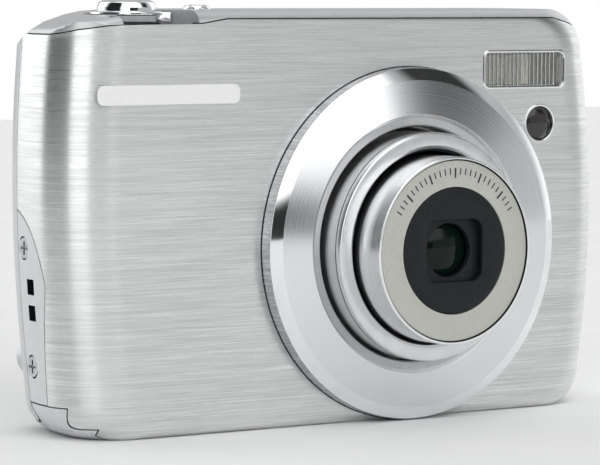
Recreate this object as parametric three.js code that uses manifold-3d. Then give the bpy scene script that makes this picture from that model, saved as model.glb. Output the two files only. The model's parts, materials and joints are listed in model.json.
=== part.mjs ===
// Compact digital camera with a two-stage zoom lens, as an assembly of separate pieces.
// Millimetres. +X is to the right seen from the front, +Y runs from the lens to the screen, +Z is up.
// The origin is on the flat base, below the middle of the body.
import * as THREE from "three";
import { mergeVertices } from "three/addons/utils/BufferGeometryUtils.js";
import Module from "manifold-3d";

const wasm = await Module();
wasm.setup();

// ---- Driving dimensions ----
const HEIGHT = 57;          // base to top plate
const FRONT = -12;          // front face of the body
const BACK = 10;            // back face of the body
const SEAM = 1.6;           // joint line between the front and rear shells
const LEFT = -45.6;         // grip side
const RIGHT = 46.8;         // lens side
const WALL = 1.2;           // shell thickness
const GAP = 0.2;            // joint line between neighbouring covers
const LENS = { x: 10, z: 24.6 };
const BEZEL_R = 24.5;
// the barrels hang a little
const BARREL_1 = { r: 15.8, lip: 13.25, front: FRONT - 6.2, back: -3.2, z: 24.4 };
const BARREL_2 = { r: 12.9, front: FRONT - 11.2, back: -9.2, z: 24.2 };
const FLASH = { x: 30.6, z: 48.5, w: 14.4, h: 5.0 };
const LAMP = { x: 33.4, z: 40.8, r: 2.4 };
const SHUTTER = { x: -30.5, y: -3.2, r: 4.0 };
const POWER = { x: -18.6, y: -2.2, r: 1.9 };
const BADGE = { x: -29.4, z: 45.8, w: 22.4, h: 2.6 };
const TRIPOD = { x: 35, y: -5.2, r: 3.15 };
const SCREEN = { x: 13.2, z: 28.5, w: 59, h: 47 };
const KEYS = { x: -31, z: 24, ring: 8.6, ok: 3.7 };
const BATTERY = { x: -26.8, w: 27.6, y: -4.2, d: 5.8, z0: 4.2, z1: 38.6 };
const DOOR = { inner: -12.0, front: -9.4, back: 5.2, thick: 1.4, corner: -39.3, top: 4.3 };
const PIN = { x: -13.05, z: 0.85 };
const MODULE = 0.6;         // gear tooth size of the zoom drive
const RING_TEETH = 62, IDLER_TEETH = 12, PINION_TEETH = 10;

// ---- Materials ----
const material = (color, roughness, metalness) => new THREE.MeshStandardMaterial({ color, roughness,
  metalness });
const BRUSHED = material(0xc9cccc, 0.3, 0.9);
const SILVER = material(0xc4c8c9, 0.35, 0.6);
const POLISHED = material(0xd9dbdd, 0.12, 1);
const SATIN = material(0xb4b7ba, 0.28, 0.9);
const CHAMPAGNE = material(0xaeb0a6, 0.45, 0.5);
const BLACK = material(0x1c1d20, 0.5, 0);
const GLASS = material(0x20282c, 0.05, 0);
const CLEAR = material(0xcfd2c8, 0.08, 0);
const STEEL = material(0x9a9da0, 0.35, 0.9);
const BRASS = material(0xb8964a, 0.35, 0.9);
const BOARD = material(0x1f5a38, 0.6, 0);
const NYLON = material(0xe6e4dc, 0.5, 0);
const BATTERY_WRAP = material(0x3a4a63, 0.5, 0);
const WHITE = material(0xdfe1e0, 0.45, 0);

// ---- Solids ----
const toSolid = (geometry) => {
  const g = geometry.index ? geometry.toNonIndexed() : geometry.clone();
  g.deleteAttribute("normal");
  g.deleteAttribute("uv");
  const merged = mergeVertices(g, 1e-4);
  const triVerts = new Uint32Array(merged.index.array);
  const vertProperties = merged.attributes.position.array;
  return new wasm.Manifold(new wasm.Mesh({ numProp: 3, vertProperties, triVerts }));
};
const union = (...solids) => solids.reduce((a, b) => a.add(b));
const cut = (solid, ...tools) => tools.reduce((a, b) => a.subtract(b), solid);

const box = (x0, x1, y0, y1, z0, z1) => toSolid(
  new THREE.BoxGeometry(x1 - x0, y1 - y0, z1 - z0).translate((x0 + x1) / 2, (y0 + y1) / 2,
    (z0 + z1) / 2));
const cylinderY = (x, z, r, y0, y1, sides = 32, r1 = r) => toSolid(
  new THREE.CylinderGeometry(r1, r, y1 - y0, sides).translate(x, (y0 + y1) / 2, z));
const cylinderZ = (x, y, r, z0, z1, sides = 32, r1 = r) => toSolid(
  new THREE.CylinderGeometry(r1, r, z1 - z0, sides).rotateX(Math.PI / 2).translate(x, y, (z0 + z1) / 2));
const cylinderX = (y, z, r, x0, x1, sides = 24) => toSolid(
  new THREE.CylinderGeometry(r, r, x1 - x0, sides).rotateZ(-Math.PI / 2).translate((x0 + x1) / 2, y, z));

// A closed outline from points. Prisms run along one axis: Y takes (x, z) points, Z takes (x, y), X takes (y, z).

const shapeOf = (points) => new THREE.Shape(points.map(([a, b]) => new THREE.Vector2(a, b)));
const prism = (shape, length, bevel = 0, bevelSegments = 3) => new THREE.ExtrudeGeometry(shape, {
  depth: length - 2 * bevel, bevelEnabled: bevel > 0, bevelThickness: bevel, bevelSize: bevel,
  bevelOffset: -bevel, bevelSegments, steps: 1,
}).translate(0, 0, bevel);
const prismY = (shape, y0, y1, bevel = 0) => toSolid(prism(shape, y1 - y0,
  bevel).rotateX(Math.PI / 2).translate(0, y1, 0));
const prismZ = (shape, z0, z1, bevel = 0) => toSolid(prism(shape, z1 - z0, bevel).translate(0, 0, z0));
const prismX = (shape, x0, x1, bevel = 0) => toSolid(prism(shape, x1 - x0, bevel)
  .applyMatrix4(new THREE.Matrix4().makeBasis(
    new THREE.Vector3(0, 1, 0), new THREE.Vector3(0, 0, 1),
      new THREE.Vector3(1, 0, 0))).translate(x0, 0, 0));

const arc = (cx, cy, rx, ry, from, to, steps) => Array.from({ length: steps + 1 }, (_, i) => {
  const a = THREE.MathUtils.degToRad(from + (to - from) * i / steps);
  return [cx + rx * Math.cos(a), cy + ry * Math.sin(a)];
});
const polar = (r, degrees) => [r * Math.cos(THREE.MathUtils.degToRad(degrees)),
  r * Math.sin(THREE.MathUtils.degToRad(degrees))];
const bow = (from, bend, to, steps) => new THREE.QuadraticBezierCurve(
  new THREE.Vector2(...from), new THREE.Vector2(...bend), new THREE.Vector2(...to))
  .getPoints(steps).slice(1, -1).map((p) => [p.x, p.y]);
const roundedBox = (cx, cy, w, h, r, steps = 4) => shapeOf([
  ...arc(cx + w / 2 - r, cy + h / 2 - r, r, r, 0, 90, steps),
  ...arc(cx - w / 2 + r, cy + h / 2 - r, r, r, 90, 180, steps),
  ...arc(cx - w / 2 + r, cy - h / 2 + r, r, r, 180, 270, steps),
  ...arc(cx + w / 2 - r, cy - h / 2 + r, r, r, 270, 360, steps),
]);

// A block from eight corners: four round the underside, then the four above them.
const hexahedron = (corners) => {
  const g = new THREE.BufferGeometry().setAttribute("position",
    new THREE.Float32BufferAttribute(corners.flat(), 3));
  g.setIndex([0, 2, 1, 0, 3, 2, 4, 5, 6, 4, 6, 7, 0, 1, 5, 0, 5, 4, 1, 2, 6, 1, 6, 5, 2, 3, 7, 2, 7, 6, 3,
    0, 4, 3, 4, 7]);
  return toSolid(g);
};

// A ring or plug turned about the lens axis from (radius, y) points given in order round its section.
const turned = (points, sides = 64, z = LENS.z, x = LENS.x) => {
  const closed = [...points, points[0]];
  const area = closed.slice(1).reduce((sum, [r, y], i) => sum + (closed[i][0] * y - r * closed[i][1]), 0);
  const ordered = area > 0 ? closed : closed.reverse();
  return toSolid(new THREE.LatheGeometry(ordered.map(([r, y]) => new THREE.Vector2(r, y)),
    sides).translate(x, 0, z));
};
// The same about an upright axis, from (radius, z) points.
const turnedUp = (points, x, y, sides = 40) => {
  const closed = [...points, points[0]];
  const area = closed.slice(1).reduce((sum, [r, h], i) => sum + (closed[i][0] * h - r * closed[i][1]), 0);
  const ordered = area > 0 ? closed : closed.reverse();
  const lathe = new THREE.LatheGeometry(ordered.map(([r, h]) => new THREE.Vector2(r, h)), sides);
  return toSolid(lathe.rotateX(Math.PI / 2).translate(x, y, 0));
};

const camera = new THREE.Group();
const add = (name, solid, look) => {
  const { vertProperties, triVerts } = solid.getMesh();
  const g = new THREE.BufferGeometry().setAttribute("position",
    new THREE.BufferAttribute(vertProperties, 3));
  g.setIndex(new THREE.BufferAttribute(triVerts, 1));
  g.computeVertexNormals();
  const mesh = new THREE.Mesh(g, look);
  mesh.name = name;
  camera.add(mesh);
};

// ---- Body form ----
// Front view: bowed sides, large right corners, a shoulder that falls away to the grip side.
const frontOutline = (inset) => {
  const sx = (RIGHT - inset) / RIGHT, middle = HEIGHT / 2, sz = (middle - inset) / middle;
  const points = [
    ...arc(39.6, 5.4, 5.2, 5.4, 270, 360, 5), ...bow([44.8, 5.4], [48.6, 28], [44.8, 50.2], 6),
    ...arc(38.4, 50.4, 6.4, 6.6, 0, 90, 6), [-20, 57], [-27, 56.9], [-36.5, 56.3], [-42.6, 55.4],
    [-44.3, 54.3], [-44.7, 53.4], ...bow([-44.7, 53.3], [-47.0, 29], [-43.6, 5.4], 6),
    ...arc(-38.6, 5.4, 5.0, 5.4, 180, 270, 5),
  ];
  return shapeOf(points.map(([x, z]) => [x * sx, middle + (z - middle) * sz]));
};
// Plan view: both ends rounded, the grip end more fully at the back.
const planOutline = (inset, steps) => shapeOf([
  ...arc(LEFT + 8.6, -5, 8.6 - inset, 7 - inset, 180, 270, steps),
  ...arc(RIGHT - 7.6, -4.4, 7.6 - inset, 7.6 - inset, 270, 360, steps),
  ...arc(RIGHT - 6, BACK - 6, 6 - inset, 6 - inset, 0, 90, steps),
  ...arc(LEFT + 8.6, -5, 8.6 - inset, BACK + 5 - inset, 90, 180, steps + 2),
]);
// The lower rear of the grip side is scooped away, more deeply towards the base.
const SCOOP = { y0: 1.1, y1: 12, run: 6.4, low: -43.3, high: -45.9, top: 30.4 };
const scoop = (inset) => {
  const near = (x, z) => [[-60, SCOOP.y0, z], [x + inset, SCOOP.y0, z],
    [x + inset + SCOOP.run, SCOOP.y1, z], [-60, SCOOP.y1, z]];
  return hexahedron([...near(SCOOP.low - 0.6, -1), ...near(SCOOP.high, SCOOP.top)]);
};
// The rear of the grip end falls away from the shutter island in one slanting plane.
const SHOULDER = { x: -42.7, y: -2, z: 55.4, riseX: 0.5, fallY: 0.45 };
const shoulder = (inset) => {
  const height = (x, y) => SHOULDER.z - inset
    + SHOULDER.riseX * (x - SHOULDER.x) - SHOULDER.fallY * (y - SHOULDER.y);
  const quad = [[-60, SHOULDER.y], [-20, SHOULDER.y], [-20, 14], [-60, 14]];
  return hexahedron([...quad.map(([x, y]) => [x, y, height(x, y)]), ...quad.map(([x, y]) => [x, y, 80])]);
};
const bodyForm = (inset, bevel, steps) => prismY(frontOutline(inset), FRONT + inset, BACK - inset, bevel)
  .intersect(prismZ(planOutline(inset, steps), -1,
    HEIGHT + 1)).subtract(scoop(inset)).subtract(shoulder(inset));
const shell = cut(bodyForm(0, 1.4, 8), bodyForm(WALL, 0, 5));
const FAR = 60;

// Top plate: everything above the shoulder line.
const topLine = (drop) => [[-FAR, 53.2 - drop], [-44.9, 53.75 - drop], [-42.2, 54.5 - drop],
  [-38.5, 55.05 - drop],
  [-33.6, 55.2 - drop], [-24, 55.3 - drop], [-20, 55.9 - drop], [36, 55.9 - drop], [41, 54.8 - drop]];
const topZone = (drop) => prismY(shapeOf([...topLine(drop), [41 + drop, FAR + 10], [-FAR, FAR + 10]]),
  FRONT + 0.9 - drop, 7 + drop);
// Grip side plate, seen from the side as (y, z), with its pointed top.
const sideZone = (grow) => prismX(shapeOf([[-4.2 - grow, 4.5 - grow], [4, 4.5 - grow], [4, 30.2 + grow],
  [1.4, 30.2 + grow],
  ...bow([1.4, 30.2 + grow], [-4.6 - grow, 28.9 + grow], [-6.1 - grow, 20.5], 8), [-6.1 - grow, 20.5],
  [-4.9 - grow, 11]]),
-FAR, -36);
// Battery door: the underside plate and the wrapped corner of the grip side.
const cornerLine = (grow) => [[DOOR.corner + grow, -2], [DOOR.corner + grow, 1.5 + grow],
  [-40.9, 1.5 + grow],
  ...bow([-40.9, 1.5 + grow], [-43.0, 1.6 + grow], [-43.6 + grow / 2, DOOR.top + grow], 5),
  [-43.6 + grow / 2, DOOR.top + grow], [-FAR, DOOR.top + grow], [-FAR, -2]];
const doorZone = (grow) => union(
  prismY(shapeOf(cornerLine(grow)), FRONT - 2, BACK + 2),
  box(-FAR, DOOR.inner + grow, DOOR.front - grow, DOOR.back + grow, -2, DOOR.thick + grow));

// ---- Covers ----
const lensHole = cylinderY(LENS.x, LENS.z, 17.1, FRONT - 1, FRONT + 3, 64);
const flashHole = prismY(roundedBox(FLASH.x, FLASH.z, FLASH.w, FLASH.h, 0.9), FRONT - 1, FRONT + 3);
const lampHole = cylinderY(LAMP.x, LAMP.z, LAMP.r + 0.15, FRONT - 1, FRONT + 3, 28);
const usbZone = box(40, FAR, -5.4, -2.2, 10.4, 18.6);
const badgeHole = prismY(roundedBox(BADGE.x, BADGE.z, BADGE.w - 2, BADGE.h - 1.2, 0.4),
  FRONT - 1, FRONT + 0.5);
const tripodHole = cylinderZ(TRIPOD.x, TRIPOD.y, 4.5, -1, 2, 28);
const frontHalf = box(-FAR, FAR, FRONT - 2, SEAM - GAP / 2, -2, FAR);
const rearHalf = box(-FAR, FAR, SEAM + GAP / 2, BACK + 2, -2, FAR);

add("front_shell", cut(shell.intersect(frontHalf), topZone(GAP), sideZone(GAP), doorZone(GAP), lensHole,
  flashHole, lampHole, usbZone, tripodHole, badgeHole), BRUSHED);
add("name_badge", union(prismY(roundedBox(BADGE.x, BADGE.z, BADGE.w, BADGE.h, 0.9),
  FRONT - 0.25, FRONT - 0.03),
  prismY(roundedBox(BADGE.x, BADGE.z, BADGE.w - 2.6, BADGE.h - 1.8, 0.3), FRONT - 0.05,
    FRONT + 0.4)), WHITE);

const screenHole = prismY(roundedBox(SCREEN.x, SCREEN.z, SCREEN.w, SCREEN.h, 1.6), BACK - 3, BACK + 1);
const FUNCTION_KEYS = {
  mode_button: [-37.2, 38.4], playback_button: [-24.8, 38.4], menu_button: [-37.2, 9.6],
    delete_button: [-24.8, 9.6],
};
const KEY_R = 2.7;
const keyHoles = Object.values(FUNCTION_KEYS).map(([x, z]) => cylinderY(x, z, KEY_R + 0.25, BACK - 3,
  BACK + 1, 24));
add("rear_shell", cut(shell.intersect(rearHalf), topZone(GAP), doorZone(GAP), screenHole,
  cylinderY(KEYS.x, KEYS.z, KEYS.ring + 0.3, BACK - 3, BACK + 1, 40), ...keyHoles), SILVER);

// The zoom ring turns in a pocket that is open towards the front.
const POCKET = { r: 5.9, floor: 55.0, deck: 53.9 };
const deckBlock = box(SHUTTER.x - 7, SHUTTER.x + 7.6, -10.6, 3.6, POCKET.deck, 56.2);
const pocketDeck = union(
  deckBlock.intersect(bodyForm(WALL + GAP, 0, 5)),
  deckBlock.intersect(bodyForm(0.3, 0, 5)).intersect(topZone(0)),
);
const pocket = union(cylinderZ(SHUTTER.x, SHUTTER.y, POCKET.r, POCKET.floor, 60, 40),
  box(SHUTTER.x - POCKET.r, SHUTTER.x + POCKET.r, FRONT - 1, SHUTTER.y, POCKET.floor, 60));
add("top_cover", cut(union(shell.intersect(topZone(0)), pocketDeck), pocket,
  cylinderZ(SHUTTER.x, SHUTTER.y, 4.75, 50, 60, 36),
    cylinderZ(POWER.x, POWER.y, POWER.r + 0.2, 50, 60, 24)), SILVER);

const STRAP = { y: -2.3, z: [20.2, 16.7], size: 2.1 };
const SIDE_SCREWS = { side_screw_upper: [-0.6, 25.3, -44.9], side_screw_lower: [-0.9, 9.4, -43.8] };
const plateCuts = [
  ...STRAP.z.map((z) => box(-FAR, -40, STRAP.y - STRAP.size / 2, STRAP.y + STRAP.size / 2,
  z - STRAP.size / 2, z + STRAP.size / 2)),
  ...Object.values(SIDE_SCREWS).map(([y, z]) => cylinderX(y, z, 1.6, -FAR, -40, 20)),
];
add("grip_side_plate", cut(shell.intersect(sideZone(0)).intersect(frontHalf), ...plateCuts), SILVER);
// The strap bar block sits behind the plate, so a cord can pass in one slot and out of the other.
add("strap_anchor", box(-43.2, -42.3, STRAP.y - 2.0, STRAP.y + 2.4, 14.6, 22.0), STEEL);

// Recessed cross-head screws.
const screwAlongX = (y, z, face, depth, r = 1.4) => {
  const cross = [box(face - 1, face + 0.5, y - 0.9, y + 0.9, z - 0.18, z + 0.18),
    box(face - 1, face + 0.5, y - 0.18, y + 0.18, z - 0.9, z + 0.9)];
  return cut(union(cylinderX(y, z, r, face, face + 0.9, 20),
    cylinderX(y, z, 0.7, face + 0.8, face + depth, 12)), ...cross);
};
for (const [name, [y, z, face]] of Object.entries(SIDE_SCREWS)) add(name,
  screwAlongX(y, z, face, 1.9), STEEL);

// ---- Lens bezel and zoom barrels ----
add("lens_bezel", turned([
  [16.3, FRONT + 1.5], [16.9, FRONT + 1.5], [16.9, FRONT - 0.05], [BEZEL_R, FRONT - 0.05],
  [24.3, FRONT - 2.1],
  [22.6, FRONT - 2.75], [17.9, FRONT - 2.75], [17.5, FRONT - 2.45], [16.3, FRONT - 2.45],
], 80), POLISHED);
add("outer_zoom_barrel", turned([
  [BARREL_1.lip, BARREL_1.front], [BARREL_1.r - 0.15, BARREL_1.front],
  [BARREL_1.r, BARREL_1.front + 0.15],
  [BARREL_1.r, BARREL_1.back], [15.0, BARREL_1.back], [15.0, BARREL_1.front + 1.3],
  [BARREL_1.lip, BARREL_1.front + 1.3],
], 64, BARREL_1.z), SATIN);
add("inner_zoom_barrel", turned([
  [12.5, BARREL_2.front], [12.75, BARREL_2.front], [BARREL_2.r, BARREL_2.front + 0.15],
  [BARREL_2.r, BARREL_2.back],
  [12.0, BARREL_2.back], [12.0, BARREL_2.front + 1], [12.5, BARREL_2.front + 1],
], 64, BARREL_2.z), SATIN);
add("name_ring", turned([[8.75, BARREL_2.front + 0.15], [12.4, BARREL_2.front + 0.15],
  [12.4, BARREL_2.front + 0.8],
  [8.75, BARREL_2.front + 0.8]], 56, BARREL_2.z), CHAMPAGNE);
const mask = cylinderY(LENS.x, BARREL_2.z, 8.65, BARREL_2.front + 0.2, BARREL_2.front + 0.8, 56);
add("aperture_mask", cut(mask, prismY(roundedBox(LENS.x, BARREL_2.z, 9.6, 8.6, 1.5), BARREL_2.front - 1,
  BARREL_2.front + 2)), BLACK);

// Barrier blades, drawn open. Closed, each covers half of the window; open, each has swung back about its pin.

const BLADE_SWING = 32;
const PIVOT = { x: 11.0, z: -0.2 };
const blade = (turn) => {
  const closed = shapeOf([[-9.6, 0.15], [5.2, 0.15], [5.2, 3.0],
    ...bow([5.2, 3.0], [5.0, 4.4], [3.8, 4.5], 3), [3.8, 4.5], [-7, 4.4],
    ...arc(-PIVOT.x, PIVOT.z, 0.9, 0.9, 100, 290, 6)]);
  const g = prism(closed, 0.3).rotateX(Math.PI / 2).translate(0, 0.3, 0);
  g.translate(PIVOT.x, 0, -PIVOT.z).rotateY(THREE.MathUtils.degToRad(-BLADE_SWING)).translate(-PIVOT.x, 0,
    PIVOT.z);
  return toSolid(g.rotateY(turn).translate(LENS.x, BARREL_2.front + 1.0, BARREL_2.z));
};
add("barrier_blade_upper", blade(0), BLACK);
add("barrier_blade_lower", blade(Math.PI), BLACK);
// The frame holds the front glass and the two blade pins behind the blades.
const FRAME_Y = BARREL_2.front + 1.6;
add("front_lens_frame", turned([[3.7, FRAME_Y], [11.9, FRAME_Y], [11.9, FRAME_Y + 2.6],
  [4.4, FRAME_Y + 2.6], [4.4, FRAME_Y + 0.8],
  [3.7, FRAME_Y + 0.8]], 48, BARREL_2.z), BLACK);
add("front_lens", turned([[0, FRAME_Y + 0.9], [2.2, FRAME_Y + 1.0], [4.2, FRAME_Y + 1.5],
  [4.2, FRAME_Y + 2.3], [0, FRAME_Y + 2.4]], 36, BARREL_2.z), GLASS);

// ---- Zoom group, iris, focus group and sensor ----
const CARRIER_BACK = BARREL_1.back;
add("zoom_group_carrier", turned([[6.6, -12.8], [8.4, -12.8], [8.4, CARRIER_BACK - 1.0],
  [14.8, CARRIER_BACK - 1.0],
  [14.8, CARRIER_BACK], [6.6, CARRIER_BACK]], 40, BARREL_1.z), BLACK);
add("zoom_lens", turned([[0, -12.6], [6.3, -12.2], [6.3, -11.4], [0, -11.0]], 32, BARREL_1.z), GLASS);
add("iris_shutter_unit", turned([[1.6, -10.6], [6.3, -10.6], [6.3, -9.4], [1.6, -9.4]], 32,
  BARREL_1.z), BLACK);
add("focus_lens_holder", turned([[3.6, -3.0], [5.6, -3.0], [5.6, -1.2], [3.6, -1.2]], 32), BLACK);
add("focus_lens", turned([[0, -3.1], [3.3, -2.8], [3.3, -1.4], [0, -1.1]], 28), GLASS);
const HOUSING_FRONT = -8.6, BASE_FRONT = 1.0, BASE_BACK = 2.2;
const sensorWindow = box(LENS.x - 4.2, LENS.x + 4.2, -2, 4, LENS.z - 3.4, LENS.z + 3.4);
add("lens_housing", cut(turned([[17.9, HOUSING_FRONT], [19.3, HOUSING_FRONT], [19.3, BASE_BACK],
  [0, BASE_BACK], [0, BASE_FRONT],
  [17.9, BASE_FRONT]], 48), sensorWindow), BLACK);
add("image_sensor", box(LENS.x - 6, LENS.x + 6, 2.35, 3.3, LENS.z - 5, LENS.z + 5), BLACK);

// ---- Zoom drive: motor, pinion, idler and the geared cam ring ----
const gearShape = (teeth, from, to, inner) => {
  const pitch = MODULE * teeth / 2, tip = pitch + MODULE * 0.7, root = pitch - MODULE * 1.1,
    step = 360 / teeth;
  const points = [];
  for (let i = from; i < to; i++) {
    const at = (r, share) => polar(r, (i + share) * step);
    points.push(at(root, -0.3), at(tip, -0.09), at(tip, 0.09), at(root, 0.3));
  }
  if (inner) for (let k = 12; k >= 0; k--) points.push(polar(inner,
    (from - 0.3 + (to - from - 0.4) * k / 12) * step));
  return shapeOf(points);
};
const gearY = (x, z, teeth, y0, y1, phase, from = 0, to = teeth, inner = 0) => toSolid(
  prism(gearShape(teeth, from, to, inner), y1 - y0).rotateX(Math.PI / 2).translate(0, y1, 0)
    .rotateY(-THREE.MathUtils.degToRad(phase)).translate(x, 0, z));
const MESH_ANGLE = 135;     // the gear train leaves the cam ring up and towards the grip
const RIM = { y0: -10.4, y1: -8.9 };
const centre = (from, angle, distance) => ({
  x: from.x + distance * Math.cos(THREE.MathUtils.degToRad(angle)),
    z: from.z + distance * Math.sin(THREE.MathUtils.degToRad(angle)),
});
const idler = centre(LENS, MESH_ANGLE, MODULE * (RING_TEETH + IDLER_TEETH) / 2 + 0.06);
const pinion = centre(idler, MESH_ANGLE, MODULE * (IDLER_TEETH + PINION_TEETH) / 2 + 0.06);
const ringBody = turned([[16.1, RIM.y0], [17.45, RIM.y0], [17.45, -0.8], [16.1, -0.8]], 56);
const SECTOR = 11;          // teeth each side of the mesh point
const ringStep = 360 / RING_TEETH;
const ringPhase = Math.round(MESH_ANGLE / ringStep) * ringStep;
add("cam_ring", union(ringBody, gearY(LENS.x, LENS.z, RING_TEETH, RIM.y0, RIM.y1, ringPhase, -SECTOR,
  SECTOR + 1, 16.8)), NYLON);
// Each gear starts with a gap facing the tooth that it meets.
const faceGap = (teeth, angle) => angle + 180 + 180 / teeth;
const ringTooth = ringPhase - MESH_ANGLE;
add("idler_gear", gearY(idler.x, idler.z, IDLER_TEETH, RIM.y0, RIM.y1,
  faceGap(IDLER_TEETH, MESH_ANGLE) - ringTooth * RING_TEETH / IDLER_TEETH), NYLON);
add("motor_pinion", union(
  gearY(pinion.x, pinion.z, PINION_TEETH, RIM.y0, RIM.y1,
    MESH_ANGLE + ringTooth * RING_TEETH / PINION_TEETH + 180),
  cylinderY(pinion.x, pinion.z, 0.6, RIM.y1 - 0.1, -5.4, 12)), BRASS);
add("zoom_motor", cut(cylinderY(pinion.x, pinion.z, 3.9, -6.0, 1.8, 24),
  cylinderY(pinion.x, pinion.z, 0.8, -6.5, -5.0, 12)), STEEL);

// ---- Flash and lamp ----
add("flash_window", prismY(roundedBox(FLASH.x, FLASH.z, FLASH.w - 0.3, FLASH.h - 0.3, 0.8), FRONT + 0.15,
  FRONT + 1.5), CLEAR);
add("flash_reflector", cut(box(FLASH.x - 7.4, FLASH.x + 7.4, FRONT + 1.7, -5.2, FLASH.z - 2.9,
  FLASH.z + 2.9),
  prismX(shapeOf([[FRONT + 1, FLASH.z - 2.4], [-8.6, FLASH.z - 1.9],
    ...arc(-8.2, FLASH.z, 2.2, 1.9, 270, 450, 8), [FRONT + 1, FLASH.z + 2.4]]),
    FLASH.x - 6.8, FLASH.x + 6.8)), POLISHED);
add("flash_tube", cylinderX(-7.8, FLASH.z, 0.9, FLASH.x - 6.6, FLASH.x + 6.6, 16), CLEAR);
add("flash_capacitor", cylinderZ(38.2, -3.4, 3.8, 20.5, 44, 28), BLACK);
add("lamp_lens", turned([[0, FRONT + 0.1], [2.0, FRONT + 0.25], [2.4, FRONT + 0.4], [2.4, FRONT + 1.2],
  [0, FRONT + 1.2]], 28, LAMP.z, LAMP.x), CLEAR);
add("lamp_reflector", turned([[2.1, FRONT + 1.3], [2.5, FRONT + 1.3], [2.5, FRONT + 5], [0.9, FRONT + 5],
  [1.0, FRONT + 4]], 28, LAMP.z, LAMP.x), POLISHED);

// ---- Top controls ----
const RING = { neck: 53.4, base: 55.2, flange: 56.3, top: 56.8, bore: 4.15, outer: 4.85 };
const TAB_ANGLE = -35;
const leverTab = toSolid(new THREE.BoxGeometry(1.5, 2.2, 1.3).translate(4.95, 0, 56.0)
  .rotateZ(THREE.MathUtils.degToRad(TAB_ANGLE)).translate(SHUTTER.x, SHUTTER.y, 0));
add("zoom_ring", union(turnedUp([[RING.bore, RING.neck], [4.55, RING.neck], [4.55, RING.base],
  [4.65, RING.base],
  [RING.outer, RING.flange], [RING.outer, RING.top - 0.2], [4.6, RING.top], [RING.bore, RING.top]],
  SHUTTER.x, SHUTTER.y), leverTab), POLISHED);
add("shutter_button", turnedUp([[0, 52.4], [1.2, 52.4], [1.2, 54.9], [SHUTTER.r, 54.9],
  [SHUTTER.r, 57.55], [3.7, 58.05],
  [3.0, 58.3], [0, 58.35]], SHUTTER.x, SHUTTER.y), POLISHED);
add("shutter_switch", box(SHUTTER.x - 2, SHUTTER.x + 2, SHUTTER.y - 2, SHUTTER.y + 2, 49.7, 51.2), BLACK);
add("power_button", turnedUp([[0, 54.2], [POWER.r, 54.2], [POWER.r, 57.3], [1.6, 57.6], [0, 57.4]],
  POWER.x, POWER.y, 28), POLISHED);
add("top_board", box(-41, -15.4, -9.5, 2.2, 48.7, 49.5), BOARD);

// ---- Battery, card and battery door ----
const half = BATTERY.w / 2;
const caseOuter = box(BATTERY.x - half - 0.9, BATTERY.x + half + 0.9, BATTERY.y - BATTERY.d / 2 - 0.9,
  BATTERY.y + BATTERY.d / 2 + 0.8, BATTERY.z0 + 0.9, BATTERY.z1 + 1.9);
const caseInner = box(BATTERY.x - half - 0.2, BATTERY.x + half + 0.2, BATTERY.y - BATTERY.d / 2 - 0.2,
  BATTERY.y + BATTERY.d / 2 + 0.2, 0, BATTERY.z1 + 1.1);
add("battery_case", cut(caseOuter, caseInner), BLACK);
add("battery", prismZ(roundedBox(BATTERY.x, BATTERY.y, BATTERY.w, BATTERY.d, 1.2), BATTERY.z0,
  BATTERY.z1), BATTERY_WRAP);
add("card_socket", cut(box(-41, -14.6, 0.0, 2.9, 5.2, 34), box(-40.4, -15.2, 0.35, 2.6, 3, 33.4)), STEEL);
add("memory_card", prismY(shapeOf([[-39.8, 3.4], [-15.8, 3.4], [-15.8, 31.6], [-18.6, 33.2],
  [-39.8, 33.2]]), 0.45, 2.5), BATTERY_WRAP);
const doorPlate = box(-43.0, PIN.x + 0.6, DOOR.front, DOOR.back, 0,
  DOOR.thick).intersect(bodyForm(0, 1.4, 8));
const knuckle = box(PIN.x - 1.0, PIN.x + 0.6, DOOR.front, DOOR.back, 0, 1.75);
const pinBore = cylinderY(PIN.x, PIN.z, 0.5, -20, 20, 16);
add("battery_door", cut(union(shell.intersect(doorZone(0)), doorPlate, knuckle),
  box(PIN.x + 0.6, PIN.x + 4, -20, 20, -1, 3), pinBore), SILVER);
add("door_hinge_pin", cylinderY(PIN.x, PIN.z, 0.4, DOOR.front + 0.4, DOOR.back - 0.4, 16), STEEL);

// ---- Chassis, boards and screen ----
const chassisHoles = [cylinderY(LENS.x, LENS.z, 7.6, 2, 6, 32), box(-38, -20, 2, 6, 8, 18),
  box(33, 41, 2, 6, 6, 14)];
add("chassis", cut(prismY(roundedBox(0.4, 28.1, 82, 49.4, 2), 3.4, 4.0), ...chassisHoles), STEEL);
add("main_board", cut(prismY(roundedBox(14.4, 28.0, 52, 46, 1.5), 4.3, 5.1),
  cylinderY(LENS.x, LENS.z, 6, 4, 6, 24)), BOARD);
add("screen_module", box(SCREEN.x - 28.6, SCREEN.x + 28.6, 6.3, 8.3, SCREEN.z - 22,
  SCREEN.z + 22), BLACK);
add("screen_window", prismY(roundedBox(SCREEN.x, SCREEN.z, SCREEN.w - 0.3, SCREEN.h - 0.3, 1.5),
  BACK - 1.2, BACK - 0.02), GLASS);
add("key_board", prismY(roundedBox(KEYS.x + 1, 24.2, 18.8, 38, 1.5), 4.5, 5.2), BOARD);

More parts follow.
